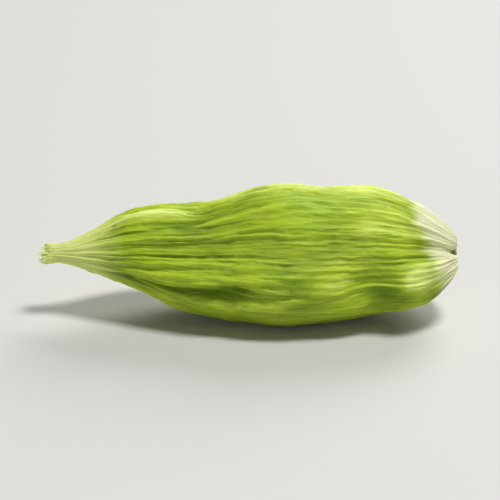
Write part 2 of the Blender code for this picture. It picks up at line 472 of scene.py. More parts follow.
wobble = wavering(husk_tree, 1.8, 1.6, 21.0)
shiver = wavering(husk_tree, 0.8, 0.7, 23.0)
wander = wavering(husk_tree, 7.0, 4.5, husk_size["Seed"])
wander = add(husk_tree, MATH, [wander, husk_size["Rib wander"]], operation="MULTIPLY")
wander = add(husk_tree, MATH, [wobble, RIB_WOBBLE, wander], operation="MULTIPLY_ADD")
wander = add(husk_tree, MATH, [shiver, RIB_SHIVER, wander], operation="MULTIPLY_ADD")
rib = crests(husk_tree, husk_size["Rib count"], wander, RIB_CUT, WEAKEST_RIB)

length_share = add(husk_tree, MATH, [along, POD_LENGTH], operation="DIVIDE")
zone = draw_curve(add(husk_tree, CURVE, {"Value": length_share}), RIB_ALONG)
swell = husk_noise(husk_tree, flow, 3.2, 1.2, 31.0)
swell = add(husk_tree, RANGE, [swell, 0.3, 0.7, 0.35, 1.2])
for factor in (zone, swell):
    rib = add(husk_tree, MATH, [rib, factor], operation="MULTIPLY")
ribbed = store(husk_tree, torn_husk, "rib", rib)
print("The husk has", round(HUSK_SIZES["Rib count"][1]), "ribs")

# %% Grow the fine veins
VEIN_WANDER, VEIN_SHIVER = 3.0, 0.6
WEAKEST_VEIN = 0.1

vein_wander = wavering(husk_tree, 6.0, 3.0, 27.0)
vein_wander = add(husk_tree, MATH, [vein_wander, VEIN_WANDER], operation="MULTIPLY")
vein_wander = add(husk_tree, MATH, [shiver, VEIN_SHIVER, vein_wander], operation="MULTIPLY_ADD")
vein = crests(husk_tree, husk_size["Vein count"], vein_wander, VEIN_CUT, WEAKEST_VEIN)
vein_swell = husk_noise(husk_tree, flow, 2.0, 0.8, 33.0)
vein_swell = add(husk_tree, RANGE, [vein_swell, 0.35, 0.65, 0.1, 1.0])
vein = add(husk_tree, MATH, [vein, vein_swell], operation="MULTIPLY")
ribbed = store(husk_tree, ribbed, "vein", vein)
print("The husk has", round(HUSK_SIZES["Vein count"][1]), "fine veins")

# %% [markdown]
# Some marks belong to this pod, and the photograph shows them: a pale band along the top of the shoulder that
# fades away, a dark furrow low on the face with a rib on each side of it, a painted highlight along the top
# edge, and near the stalk a sunken dark patch and a bright knob where a seed pushes out. Most have a relief
# as well as a paleness. The darkness of the furrows, of the dip and of the sunken patch is painted shade, and
# the palest part of the shoulder's band and of the knob is painted highlight. No rule would put them there,
# so each is a row of a table. Some of those that run lengthwise climb as the pod widens.

# %% Place the pod's marks, with their painted highlights and painted shade
POD_MARKS_AND_PAINTED_LIGHT = (
    # degrees round at its start and end, degrees to each side, millimetres along from and to, millimetres
    # over which it begins and ends, millimetres up, paleness, which is painted shade where it is below 0
    # straw band, with a painted highlight where it is palest
    (80.0, 77.0, 15.0, -1.0, 9.0, 2.2, 0.18, 0.9),  # pale band on the shoulder
    # painted shade where the band stops
    (80.0, 80.0, 14.0, 7.8, 9.4, 0.8, -0.08, -0.1),  # dip where the band stops
    # painted shade in the furrow under the band
    (58.0, 60.0, 9.0, 2.4, 9.8, 1.6, -0.24, -0.45),  # furrow under the band
    # painted shade in the thin furrow
    (20.0, 21.0, 8.0, 3.6, 10.6, 1.6, -0.12, -0.3),  # thin furrow on the face
    (9.0, 12.0, 4.0, 4.0, 11.4, 2.0, 0.08, 0.15),  # thin rib on the face
    (-9.0, 2.0, 7.0, 2.6, 15.0, 2.2, 0.16, 0.05),  # rib above the dark furrow
    # painted shade in the dark furrow
    (-36.0, -10.0, 10.0, 1.7, 11.8, 1.5, -0.36, -0.8),  # dark furrow
    (-46.0, -16.0, 7.0, 3.6, 14.6, 2.2, 0.22, 0.35),  # pale rib under it
    (-4.0, -4.0, 20.0, 14.2, 17.4, 1.5, 0.12, 0.5),  # pale patch
    # painted shade in the sunken patch
    (-24.0, -24.0, 23.0, 16.8, 20.4, 1.6, -0.20, -0.45),  # sunken dark patch
    # a real bulge with a painted highlight on it
    (-2.0, -2.0, 24.0, 18.8, 22.2, 1.5, 0.26, 1.4),  # bright knob
    (48.0, 48.0, 32.0, 15.4, 22.2, 1.8, 0.05, 0.5),  # light patch above the knob
    # painted highlight along the top edge, with no relief under it
    (103.0, 99.0, 30.0, 7.8, 21.0, 2.4, 0.0, 0.75),  # light crest of the top valve
)


# %% Lay the marks on the husk
# radians over which the middling and the fine noise swing a mark's sides
MARK_WOBBLE, MARK_SHIVER = 0.16, 0.10
# millimetres over which noise swings its ends
MARK_DRIFT = 1.6

sway = add(husk_tree, MATH, [wobble, MARK_WOBBLE, turn], operation="MULTIPLY_ADD")
sway = add(husk_tree, MATH, [shiver, MARK_SHIVER, sway], operation="MULTIPLY_ADD")
drift = wavering(husk_tree, 1.1, 0.9, 25.0)
drift = add(husk_tree, MATH, [drift, MARK_DRIFT, along], operation="MULTIPLY_ADD")
own_relief = None
paleness_and_painted_light = None
for first_turn, last_turn, reach, start, end, fade, height, paleness in POD_MARKS_AND_PAINTED_LIGHT:
    turns = [math.radians(first_turn), math.radians(last_turn)]
    centre = add(husk_tree, RANGE, [along, start, end, *turns])
    off_centre = add(husk_tree, MATH, [sway, centre], operation="SUBTRACT")
    mark = near_turn(husk_tree, off_centre, 0.0, reach)
    for edge, inside in ((start, start + fade), (end, end - fade)):
        limit = add(husk_tree, RANGE, [drift, edge, inside], interpolation_type="SMOOTHSTEP")
        mark = add(husk_tree, MATH, [mark, limit], operation="MULTIPLY")
    own_relief = add(husk_tree, MATH, [mark, height, own_relief], operation="MULTIPLY_ADD")
    paleness_and_painted_light = add(husk_tree, MATH, [mark, paleness, paleness_and_painted_light], operation="MULTIPLY_ADD")
# the paleness carries the painted highlights and the painted shade to the finish
ribbed = store(husk_tree, ribbed, "pale", paleness_and_painted_light)
print(len(POD_MARKS_AND_PAINTED_LIGHT), "marks are this pod's own")

# %% [markdown]
# Between the ribs the dried husk is drawn tight over the seeds, which show as soft bulges about three
# millimetres long. On top of those come the fine lengthwise striations of the fibres, a crepe of small
# puckers where the skin dried, shallow cross wrinkles on the neck, and a thin groove at each of the
# three seams. All of it is added up to one height, and its mean is taken off again, because otherwise
# the ribs would only ever add to the pod and make it fatter than its solid.

# %% Make the bulges, striations, crepe and wrinkles
SEED_LENGTH, SEED_WIDTH = 3.0, 2.3
# millimetres along and around
STRIATION = (2.4, 0.30)
CREPE = (0.6, 0.34)
WRINKLE = (0.45, 1.6)
# from and to these millimetres along the pod, the wrinkles sink from this height to that
WRINKLE_ZONE = (2.0, 9.0, 0.12, 0.05)

bulge_place = add(husk_tree, VECTOR, [flow, (SEED_LENGTH, SEED_WIDTH, SEED_WIDTH)], operation="DIVIDE")
bulge = add(
    husk_tree,
    "ShaderNodeTexVoronoi",
    {"Vector": bulge_place, "W": 3.0, "Scale": 1.0, "Smoothness": 0.7},
    voronoi_dimensions="4D",
    feature="SMOOTH_F1",
)
bulge = add(husk_tree, RANGE, [bulge, 0.15, 0.75, 0.5, -0.5])
striation = wavering(husk_tree, *STRIATION, 41.0)
crepe = wavering(husk_tree, *CREPE, 47.0)
wrinkle = wavering(husk_tree, *WRINKLE, 51.0)
wrinkle_zone = add(husk_tree, RANGE, [along, *WRINKLE_ZONE])
wrinkle = add(husk_tree, MATH, [wrinkle, wrinkle_zone], operation="MULTIPLY")
print("A seed's bulge is about", SEED_LENGTH, "mm long and", SEED_WIDTH, "mm wide")

# %% Cut the seams
SEAM_GROOVE = ((0.0, 0.0), (0.25, 0.1), (0.5, 0.8), (0.72, 1.0), (1.0, 0.85))
SEAM_ALONG = ((0.0, 0.5), (0.15, 0.7), (0.45, 0.15), (0.8, 0.15), (0.93, 0.35), (1.0, 0.8))
SEAM_REACH = 0.6

seam_off = add(husk_tree, MATH, [off_seam, VALVES], operation="DIVIDE")
seam_off = add(husk_tree, MATH, [seam_off, out], operation="MULTIPLY")
seam_off = add(husk_tree, RANGE, [seam_off, 0.0, SEAM_REACH, 0.0, 1.0])
seam_cut = draw_curve(add(husk_tree, CURVE, {"Value": seam_off}), SEAM_GROOVE)
seam_cut = add(husk_tree, MATH, [seam_cut, SEAM_GROOVE[-1][1]], operation="SUBTRACT")
seam_cut = add(husk_tree, MATH, [seam_cut, husk_size["Seam depth"]], operation="MULTIPLY")
seam_zone = draw_curve(add(husk_tree, CURVE, {"Value": length_share}), SEAM_ALONG)
seam_cut = add(husk_tree, MATH, [seam_cut, seam_zone], operation="MULTIPLY")
print("A seam's groove with its two lips is", 2 * SEAM_REACH, "mm wide")

# %% Add the relief up and raise it
# from and to these millimetres off the axis, the relief grows from this share to the whole of it
RELIEF_SHARE = (0.4, 2.6, 0.16, 1.0)
RELIEF_PARTS = (
    (rib, "Rib height"),
    (bulge, "Seed bulge"),
    (striation, "Striation height"),
    (vein, "Vein height"),
    (crepe, "Crepe height"),
)

relief = seam_cut
for part, size in RELIEF_PARTS:
    relief = add(husk_tree, MATH, [part, husk_size[size], relief], operation="MULTIPLY_ADD")
for part in (wrinkle, own_relief):
    relief = add(husk_tree, MATH, [relief, part], operation="ADD")
average = add(husk_tree, "GeometryNodeAttributeStatistic", {"Geometry": ribbed, 2: relief}).outputs["Mean"]
relief = add(husk_tree, MATH, [relief, average], operation="SUBTRACT")
relief = add(husk_tree, MATH, [relief, husk_size["Sunk below the solid"]], operation="SUBTRACT")
thick = add(husk_tree, RANGE, [out, *RELIEF_SHARE], interpolation_type="SMOOTHSTEP")
relief = add(husk_tree, MATH, [relief, thick], operation="MULTIPLY")
grown = store(husk_tree, ribbed, "relief", relief)
lift = add(husk_tree, MATH, [relief, MM], operation="MULTIPLY")
normal = add(husk_tree, "GeometryNodeInputNormal")
lift = add(husk_tree, VECTOR, {0: normal, "Scale": lift}, operation="SCALE")
grown = add(husk_tree, "GeometryNodeSetPosition", {"Geometry": grown, "Offset": lift})
print("A strong rib stands about", HUSK_SIZES["Rib height"][1], "mm above the hollow beside it")

# %% [markdown]
# The pod rests on its belly. Whatever the relief pushed below the table is pressed back up to it, so
# the ribs under the belly end in small flat places, which is where the pod stands.

# %% Press the belly flat and finish the husk's tree
spot = add(husk_tree, "ShaderNodeSeparateXYZ", [add(husk_tree, "GeometryNodeInputPosition")])
raised = add(husk_tree, MATH, [spot.outputs["Z"], 0.0], operation="MAXIMUM")
pressed = add(husk_tree, "ShaderNodeCombineXYZ", [spot.outputs["X"], spot.outputs["Y"], raised])
husk_shape = add(husk_tree, "GeometryNodeSetPosition", {"Geometry": grown, "Position": pressed})
finish_tree(husk_tree, husk_shape, husk_size["Finish"])
print("The husk's tree has", len(husk_tree.nodes), "nodes")

# %% [markdown]
# ## The finish of the husk
#
# Dried green husk is plant fibre with some of its leaf green left in it. It is dry and only a little glossy.
# The ribs are bare fibre and look like straw, the hollows keep more green and are deepened with painted
# shade, and both ends are almost without green. Painted highlights and painted shade also lie in the colour
# on the pod's marks and at the stalk's rim. Light goes a fraction of a millimetre into it, which softens the
# shadows.

# %% Name the colours
def colour(code):
    """A colour that is written as an sRGB hex value, as the linear numbers that Blender mixes."""
    channels = [int(code[start : start + 2], 16) / 255 for start in (1, 3, 5)]
    linear = [c / 12.92 if c <= 0.04045 else ((c + 0.055) / 1.055) ** 2.4 for c in channels]
    return (*linear, 1.0)


HUSK_GREEN = "#7DA606"
HUSK_YELLOW = "#9FBE0F"
LEAF_GREEN = "#568706"
RIB_STRAW_AND_HIGHLIGHT = "#CADC46"
OLIVE_AND_PAINTED_SHADE = "#3B5603"
BEAK_STRAW_AND_HIGHLIGHT = "#F0FA98"
STALK_CREAM_AND_HIGHLIGHT = "#E5E4BE"
SHEEN_LIME = "#DDEB7A"
SPECK_BROWN = "#7B6B33"
SCAR_BROWN = "#A08A56"


def blend(tree, below, above, share):
    """Lay one colour over another, by a share from 0 to 1."""
    below = colour(below) if isinstance(below, str) else below
    return add(tree, MIX, {0: share, 6: below, 7: colour(above)}, data_type="RGBA")


print("As linear numbers the husk's green is", [round(c, 3) for c in colour(HUSK_GREEN)[:3]])

# %% [markdown]
# The material is one Principled shader under a stack of thin colour layers, each laid over the last
# by a share between 0 and 1. The skin comes first: green in soft blotches, with patches that kept
# more of their leaf green.


# %% Mix the greens of the skin
def stored(tree, name, output="Fac"):
    """A value that the husk's tree stored on its points."""
    return add(tree, "ShaderNodeAttribute", attribute_name=name).outputs[output]


def share_of(tree, value, start, end, most, kind="LINEAR"):
    """A share that grows from 0 to its most while a value runs from start to end."""
    return add(tree, RANGE, [value, start, end, 0.0, most], interpolation_type=kind)


def green_skin(tree, flow):
    """Green in soft blotches, with patches that kept more of their leaf green."""
    mottle = husk_noise(tree, flow, 5.0, 2.6, 3.0, 3.0)
    surface = blend(tree, HUSK_GREEN, HUSK_YELLOW, share_of(tree, mottle, 0.36, 0.62, 1.0))
    patch = husk_noise(tree, flow, 3.4, 2.6, 8.0, 4.0)
    return blend(tree, surface, LEAF_GREEN, share_of(tree, patch, 0.5, 0.68, 0.6, "SMOOTHSTEP"))


# %% [markdown]
# Lighter and darker fibres streak the skin. The next shares come from the relief that the tree stored on the
# points, so that a pale rib is pale exactly where it stands up, and a hollow is darkened where it is deep,
# partly with painted shade. The pod's marks, with their painted highlights and painted shade, are broken up
# by the same streaks, or they would look painted on.


# %% Colour the fibres and the marks
def fibre_colours(tree, surface, streak):
    """Light and dark streaks, hollows darkened partly with painted shade, and straw on the ribs and the fine
    veins.
    """
    layers = (
        # colour, what its share follows, from and to, the most of it, how it grows
        (RIB_STRAW_AND_HIGHLIGHT, streak, 0.56, 0.72, 0.4, "LINEAR"),
        (OLIVE_AND_PAINTED_SHADE, streak, 0.44, 0.28, 0.32, "LINEAR"),
        # deep hollows: the green the husk keeps there, deepened with painted shade
        (OLIVE_AND_PAINTED_SHADE, stored(tree, "relief"), -0.02, -0.26, 0.55, "SMOOTHSTEP"),
        (RIB_STRAW_AND_HIGHLIGHT, stored(tree, "rib"), 0.3, 0.95, 0.7, "SMOOTHSTEP"),
        (RIB_STRAW_AND_HIGHLIGHT, stored(tree, "vein"), 0.3, 0.9, 0.4, "SMOOTHSTEP"),
    )
    for above, *limits in layers:
        surface = blend(tree, surface, above, share_of(tree, *limits))
    return surface


def mark_colours(tree, surface, streak):
    """Straw where a mark is pale, a painted highlight where it is palest, and painted shade in olive where it
    is dark.
    """
    pale = stored(tree, "pale")
    pale_thread = add(tree, RANGE, [streak, 0.36, 0.62, 0.35, 1.15])
    dark_thread = add(tree, RANGE, [streak, 0.62, 0.36, 0.4, 1.3])
    layers = (
        # colour, paleness from and to, the most of it, the streaks that break it up
        # straw on the pale marks, which on the top edge's crest is painted highlight
        (RIB_STRAW_AND_HIGHLIGHT, 0.0, 1.0, 0.85, pale_thread),
        # painted highlight on the palest marks
        (BEAK_STRAW_AND_HIGHLIGHT, 0.85, 1.4, 0.75, pale_thread),
        # painted shade on the dark marks
        (OLIVE_AND_PAINTED_SHADE, 0.0, -1.0, 0.6, dark_thread),
    )
    for above, start, end, most, thread in layers:
        share = share_of(tree, pale, start, end, most)
        share = add(tree, MATH, [share, thread], operation="MULTIPLY", use_clamp=True)
        surface = blend(tree, surface, above, share)
    return surface


# %% [markdown]
# Both ends are almost without green. The beak's straw colour ends in fingers that follow the fibres.
# The cream rim at the stalk is the husk's pale end with a painted highlight on it. It has a soft painted
# shadow along its edge, and the painted highlight makes it reach further along the top of the pod than along
# its front, so its edge leans.

# %% Colour both ends
# millimetres along the pod over which the straw colour fades where a finger reaches furthest
BEAK_FADE = (3.1, 6.2)
BEAK_FINGER = 2.4
RIM_START = POD_LENGTH - 2.2
RIM_FADE = 1.1
# the cream's edge leans up the top of the pod, where the painted highlight falls
RIM_HIGHLIGHT_LEAN_UP, RIM_LEAN_FRONT = 0.20, -0.08
RIM_FINGER = 0.4
RIM_SHADOW_REACH, RIM_SHADOW = 0.7, 0.22
END_PALENESS = 0.95


def pale_beak(tree, surface, flow, along):
    """Straw at the beak, ending in fingers."""
    ragged = husk_noise(tree, flow, 2.0, 0.4, 15.0)
    edge = add(tree, MATH, [ragged, BEAK_FINGER, along], operation="MULTIPLY_ADD")
    beak = add(tree, RANGE, [edge, *BEAK_FADE, END_PALENESS, 0.0], interpolation_type="SMOOTHSTEP")
    return blend(tree, surface, BEAK_STRAW_AND_HIGHLIGHT, beak)


def pale_rim(tree, surface, flow, along, front, up):
    """Cream at the stalk with a painted highlight, and a soft painted shadow along its leaning edge."""
    finger = husk_noise(tree, flow, 1.6, 0.5, 29.0, 3.0)
    finger = add(tree, RANGE, [finger, 0.3, 0.7, -RIM_FINGER, RIM_FINGER])
    edge = add(tree, MATH, [along, finger], operation="ADD")
    edge = add(tree, MATH, [up, RIM_HIGHLIGHT_LEAN_UP, edge], operation="MULTIPLY_ADD")
    edge = add(tree, MATH, [front, RIM_LEAN_FRONT, edge], operation="MULTIPLY_ADD")
    shadow = near(tree, edge, RIM_START, RIM_SHADOW_REACH)
    shadow = add(tree, MATH, [shadow, RIM_SHADOW], operation="MULTIPLY")
    surface = blend(tree, surface, OLIVE_AND_PAINTED_SHADE, shadow)
    rim = share_of(tree, edge, RIM_START, RIM_START + RIM_FADE, END_PALENESS, "SMOOTHSTEP")
    return blend(tree, surface, STALK_CREAM_AND_HIGHLIGHT, rim)


# %% [markdown]
# The stalk scar is brown, and small brown specks are spread over the husk. Each cell of a Voronoi
# pattern holds one speck at most, and its size is drawn by lot.

# %% Colour the scar and the specks
SCAR_RADIUS, SCAR_FADE = 0.5, 0.12
# millimetres between specks, along the pod and across it
SPECK_SPACING = (2.2, 1.5, 1.5)
SPECK_RADIUS = 0.22


def brown_scar(tree, surface, along):
    """Brown round the axis, at the stalk's end only."""
    in_scar = share_of(tree, stored(tree, "out"), SCAR_RADIUS, SCAR_RADIUS - SCAR_FADE, 1.0)
    at_stalk = add(tree, MATH, [along, POD_LENGTH / 2], operation="GREATER_THAN")
    scar = add(tree, MATH, [in_scar, at_stalk], operation="MULTIPLY")
    return blend(tree, surface, SCAR_BROWN, scar)


def brown_specks(tree, surface, flow):
    """Small brown specks, none of them in the cells that drew the lowest lots."""
    cell = add(tree, VECTOR, [flow, SPECK_SPACING], operation="DIVIDE")
    cell = add(tree, "ShaderNodeTexVoronoi", {"Vector": cell, "Scale": 1.0}, voronoi_dimensions="3D")
    size = share_of(tree, cell.outputs["Color"], 0.55, 1.0, SPECK_RADIUS / SPECK_SPACING[1])
    speck = add(tree, MATH, [size, cell.outputs["Distance"]], operation="SUBTRACT")
    return blend(tree, surface, SPECK_BROWN, share_of(tree, speck, 0.0, 0.06, 0.7))


# %% [markdown]
# Fibres and crinkles that are too fine for the mesh are a bump, less than a tenth of a millimetre
# deep. The gloss varies too, in narrow streaks of its own, so that the highlights break up.

# %% Make the husk's material
GRAIN_DEPTH = 0.08
LIGHT_DEPTH = 0.5

HUSK_SHADER = {
    "IOR": 1.45,
    "Specular IOR Level": 0.28,
    "Sheen Weight": 0.20,
    "Sheen Roughness": 0.4,
    "Sheen Tint": colour(SHEEN_LIME),
    "Subsurface Weight": 0.12,
    "Subsurface Radius": (0.9, 1.0, 0.3),
    "Subsurface Scale": LIGHT_DEPTH * MM,
}


def fine_grain(tree, shader, flow):
    """Uneven gloss, and a bump of fibres and crinkles."""
    gloss = husk_noise(tree, flow, 1.5, 0.3, 13.0)
    gloss = add(tree, RANGE, [gloss, 0.3, 0.7, 0.45, 0.65])
    tree.links.new(gloss.outputs[0], shader.inputs["Roughness"])
    fibre = husk_noise(tree, flow, 1.2, 0.12, 17.0, 3.0)
    crinkle = husk_noise(tree, flow, 0.35, 0.22, 19.0, 3.0)
    grain = add(tree, MATH, [crinkle, 0.8, fibre], operation="MULTIPLY_ADD")
    bump = add(tree, "ShaderNodeBump", {"Strength": 0.9, "Distance": GRAIN_DEPTH * MM, "Height": grain})
    tree.links.new(bump.outputs[0], shader.inputs["Normal"])


def dried_husk():
    """Dried green husk: satin plant fibre, mottled, with straw ribs, pale ends, and painted highlights and
    painted shade.
    """
    material = bpy.data.materials.new("dried_green_husk_fibre")
    material.use_nodes = True
    tree = material.node_tree
    shader = tree.nodes["Principled BSDF"]
    flow = stored(tree, "flow", "Vector")
    flow_parts = add(tree, "ShaderNodeSeparateXYZ", [flow])
    along, front, up = (flow_parts.outputs[name] for name in "XYZ")
    streak = husk_noise(tree, flow, 1.8, 0.16, 5.0, 4.0)

    surface = green_skin(tree, flow)
    surface = fibre_colours(tree, surface, streak)
    surface = mark_colours(tree, surface, streak)
    surface = pale_beak(tree, surface, flow, along)
    surface = pale_rim(tree, surface, flow, along, front, up)
    surface = brown_scar(tree, surface, along)
    surface = brown_specks(tree, surface, flow)
    tree.links.new(surface.outputs[2], shader.inputs["Base Color"])
    fine_grain(tree, shader, flow)
    for name, value in HUSK_SHADER.items():
        shader.inputs[name].default_value = value
    return material


husk_finish = dried_husk()
HUSK_SIZES["Finish"] = ("NodeSocketMaterial", husk_finish)
print("The husk's material has", len(husk_finish.node_tree.nodes), "nodes")

# %% Grow the husk
husk = grow("ribbed_husk", husk_tree, HUSK_SIZES)
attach(husk, "root")
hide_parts("cardamom_pod")

# %% [markdown]
# ## The loose fibres
#
# The husk's veins are bast fibre, the stuff of which string is made. Where the skin between them has
# shrunk they split off, and thin pale fibres lift from the crests of the ribs. They are bare and dry,
# with a soft gloss, and their colour is a little uneven. The torn fibres at both ends are the same
# stuff in other colours, so one function makes all three materials.

# %% Make the fibres' material
FIBRE_PALE = "#C6DA5C"
FIBRE_DARK = "#9DB43A"
# millimetres of a blotch, along the pod and across it
FIBRE_MOTTLE = (0.7, 0.15, 0.15)


def dry_fibre(name, pale, dark):
    """Bare plant fibre: dry, softly glossy, and blotched with a darker colour."""
    material = bpy.data.materials.new(name)
    material.use_nodes = True
    tree = material.node_tree
    shader = tree.nodes["Principled BSDF"]
    place = add(tree, "ShaderNodeTexCoord").outputs["Object"]
    blotch = tuple(size * MM for size in FIBRE_MOTTLE)
    place = add(tree, VECTOR, [place, blotch], operation="DIVIDE")
    uneven = add(tree, NOISE, {"Vector": place, "Scale": 1.0, "Detail": 2.0})
    share = add(tree, RANGE, [uneven, 0.35, 0.65, 0.0, 1.0])
    surface = add(tree, MIX, {0: share, 6: colour(pale), 7: colour(dark)}, data_type="RGBA")
    tree.links.new(surface.outputs[2], shader.inputs["Base Color"])
    shader.inputs["Roughness"].default_value = 0.5
    shader.inputs["IOR"].default_value = 1.5
    return material


bast_fibre = dry_fibre("bast_fibre", FIBRE_PALE, FIBRE_DARK)
print("The fibres' material has", len(bast_fibre.node_tree.nodes), "nodes")

# %% [markdown]
# Laying some sixty thin fibres by hand would be slow. A tree scatters points over the crests of the
# ribs, puts a short straight line on each, drops every point of the line on the husk, and lifts one
# end of it a little. A thin round profile, tapered to both ends, makes a solid fibre of each line.

# %% Choose where fibres grow
FIBRE_SIZES = {
    "Husk": ("NodeSocketObject", husk),
    "Per square millimetre": ("NodeSocketFloat", 2.2),
    "Weakest rib": ("NodeSocketFloat", 0.3),
    "Shortest": ("NodeSocketFloat", 0.4),
    "Longest": ("NodeSocketFloat", 2.0),
    "Half thickness": ("NodeSocketFloat", 0.020),
    "End lift": ("NodeSocketFloat", 0.06),
    "Seed": ("NodeSocketInt", 8),
    "Finish": ("NodeSocketMaterial", bast_fibre),
}
# millimetres along the pod of the middle of the fibres' zone, and its reach to each side
FIBRE_ZONE = (11.0, 8.6)
# no fibre is rooted nearer to the table than these millimetres
FIBRE_FLOOR = 0.6

fibre_tree, fibre_size = new_tree("lifted_fibres", FIBRE_SIZES)
husk_skin = add(fibre_tree, "GeometryNodeObjectInfo", [fibre_size["Husk"]]).outputs["Geometry"]
rib_here = add(fibre_tree, "GeometryNodeInputNamedAttribute", ["rib"], data_type="FLOAT").outputs[0]
flow_here = add(fibre_tree, "GeometryNodeInputNamedAttribute", ["flow"], data_type="FLOAT_VECTOR").outputs[0]
along_here = add(fibre_tree, "ShaderNodeSeparateXYZ", [flow_here]).outputs["X"]
on_rib = add(fibre_tree, MATH, [rib_here, fibre_size["Weakest rib"]], operation="GREATER_THAN")
on_body = add(fibre_tree, MATH, [along_here, *FIBRE_ZONE], operation="COMPARE")
chosen = add(fibre_tree, MATH, [on_rib, on_body], operation="MULTIPLY")
height_here = add(fibre_tree, "ShaderNodeSeparateXYZ", [add(fibre_tree, "GeometryNodeInputPosition")])
off_table = add(fibre_tree, MATH, [height_here.outputs["Z"], FIBRE_FLOOR * MM], operation="GREATER_THAN")
chosen = add(fibre_tree, MATH, [chosen, off_table], operation="MULTIPLY")
density = add(fibre_tree, MATH, [fibre_size["Per square millimetre"], MM**-2], operation="MULTIPLY")
roots = add(
    fibre_tree,
    "GeometryNodeDistributePointsOnFaces",
    {"Mesh": husk_skin, "Selection": chosen, "Density": density, "Seed": fibre_size["Seed"]},
)
fibres_from, fibres_to = FIBRE_ZONE[0] - FIBRE_ZONE[1], sum(FIBRE_ZONE)
print("Fibres grow from", round(fibres_from, 1), "to", round(fibres_to, 1), "mm along the pod")

# %% Lay a line at each root
FIBRE_POINTS = 9
FIBRE_YAW = 0.12


def random_between(tree, low, high, seed):
    """A random number for each point, between two sizes."""
    return add(tree, "FunctionNodeRandomValue", {2: low, 3: high, 8: seed})


line_ends = {"Start": (-0.5, 0.0, 0.0), "End": (0.5, 0.0, 0.0)}
straight = add(fibre_tree, "GeometryNodeCurvePrimitiveLine", line_ends)
straight = add(fibre_tree, "GeometryNodeResampleCurve", {"Curve": straight, "Count": FIBRE_POINTS})
length = random_between(fibre_tree, fibre_size["Shortest"], fibre_size["Longest"], fibre_size["Seed"])
length = add(fibre_tree, MATH, [length, MM], operation="MULTIPLY")
stretch = add(fibre_tree, "ShaderNodeCombineXYZ", [length, 1.0, 1.0])
yaw = random_between(fibre_tree, -FIBRE_YAW, FIBRE_YAW, 3)
yaw = add(fibre_tree, "ShaderNodeCombineXYZ", [0.0, 0.0, yaw])
fibres = add(
    fibre_tree,
    "GeometryNodeInstanceOnPoints",
    {"Points": roots, "Instance": straight, "Rotation": yaw, "Scale": stretch},
)
fibres = add(fibre_tree, "GeometryNodeRealizeInstances", [fibres])
print("A line has", FIBRE_POINTS, "points and lies up to", FIBRE_YAW, "radians off the pod's length")

# %% Drop the lines on the husk and lift one end
# a higher power keeps more of the line down and bends only its end
LIFT_POWER = 4.0
# millimetres between the husk and the middle of a fibre that lies on it
FIBRE_GAP = 0.01
GUSTS_PER_MM = 0.4


def outwards(tree, place):
    """The direction away from the pod's axis."""
    off_axis = add(tree, VECTOR, [place, axis_point], operation="SUBTRACT")
    off_axis = add(tree, VECTOR, [off_axis, (0.0, 1.0, 1.0)], operation="MULTIPLY")
    return add(tree, VECTOR, [off_axis], operation="NORMALIZE")


touch = add(fibre_tree, "GeometryNodeProximity", [husk_skin], target_element="FACES").outputs["Position"]
along_fibre = add(fibre_tree, "GeometryNodeSplineParameter").outputs["Factor"]
rise = add(fibre_tree, MATH, [along_fibre, LIFT_POWER], operation="POWER")
gust = add(fibre_tree, NOISE, {"Vector": touch, "Scale": GUSTS_PER_MM / MM})
gust = add(fibre_tree, RANGE, [gust, 0.4, 0.7, 0.1, 1.0])
rise = add(fibre_tree, MATH, [rise, gust], operation="MULTIPLY")
rise = add(fibre_tree, MATH, [rise, fibre_size["End lift"], FIBRE_GAP], operation="MULTIPLY_ADD")
rise = add(fibre_tree, MATH, [rise, MM], operation="MULTIPLY")
rise = add(fibre_tree, VECTOR, {0: outwards(fibre_tree, touch), "Scale": rise}, operation="SCALE")
lifted = add(fibre_tree, VECTOR, [touch, rise], operation="ADD")
fibres = add(fibre_tree, "GeometryNodeSetPosition", {"Geometry": fibres, "Position": lifted})
print("A fibre's end lifts by up to", FIBRE_SIZES["End lift"][1], "mm")

# %% Make solid fibres of the lines
FIBRE_SIDES = 5
FIBRE_TAPER = ((0.0, 0.25), (0.25, 1.0), (0.7, 0.9), (1.0, 0.15))

half = add(fibre_tree, MATH, [fibre_size["Half thickness"], MM], operation="MULTIPLY")
profile = add(fibre_tree, "GeometryNodeCurvePrimitiveCircle", {"Resolution": FIBRE_SIDES, "Radius": half})
taper = draw_curve(add(fibre_tree, CURVE, {"Value": along_fibre}), FIBRE_TAPER)
fibres = add(
    fibre_tree,
    "GeometryNodeCurveToMesh",
    {"Curve": fibres, "Profile Curve": profile, "Scale": taper, "Fill Caps": True},
)
finish_tree(fibre_tree, fibres, fibre_size["Finish"])

lifted_fibres = grow("lifted_fibres", fibre_tree, FIBRE_SIZES)
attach(lifted_fibres, "root")

# %% [markdown]
# The flower's tube tore off at the beak and left its fibres sticking out of the rim, like the end of
# a frayed string. They stand in a ring, so each one's place follows from its number.

# %% Stand lines in a ring round the beak
SHRED_SIZES = {
    "Shreds": ("NodeSocketInt", 34),
    "Smallest ring": ("NodeSocketFloat", 0.20),
    "Largest ring": ("NodeSocketFloat", 0.40),
    "Shortest": ("NodeSocketFloat", 0.35),
    "Longest": ("NodeSocketFloat", 0.85),
    "Width": ("NodeSocketFloat", 0.10),
    "Thickness": ("NodeSocketFloat", 0.03),
    "Spread": ("NodeSocketFloat", 0.12),
    "Seed": ("NodeSocketInt", 12),
    "Finish": ("NodeSocketMaterial", dry_fibre("withered_flower_tube", BEAK_STRAW_AND_HIGHLIGHT, FIBRE_PALE)),
}
# millimetres along the pod where a shred is rooted
SHRED_START = 0.65
# how far a shred strays from its place, in spaces between shreds
RING_STRAY = 0.3

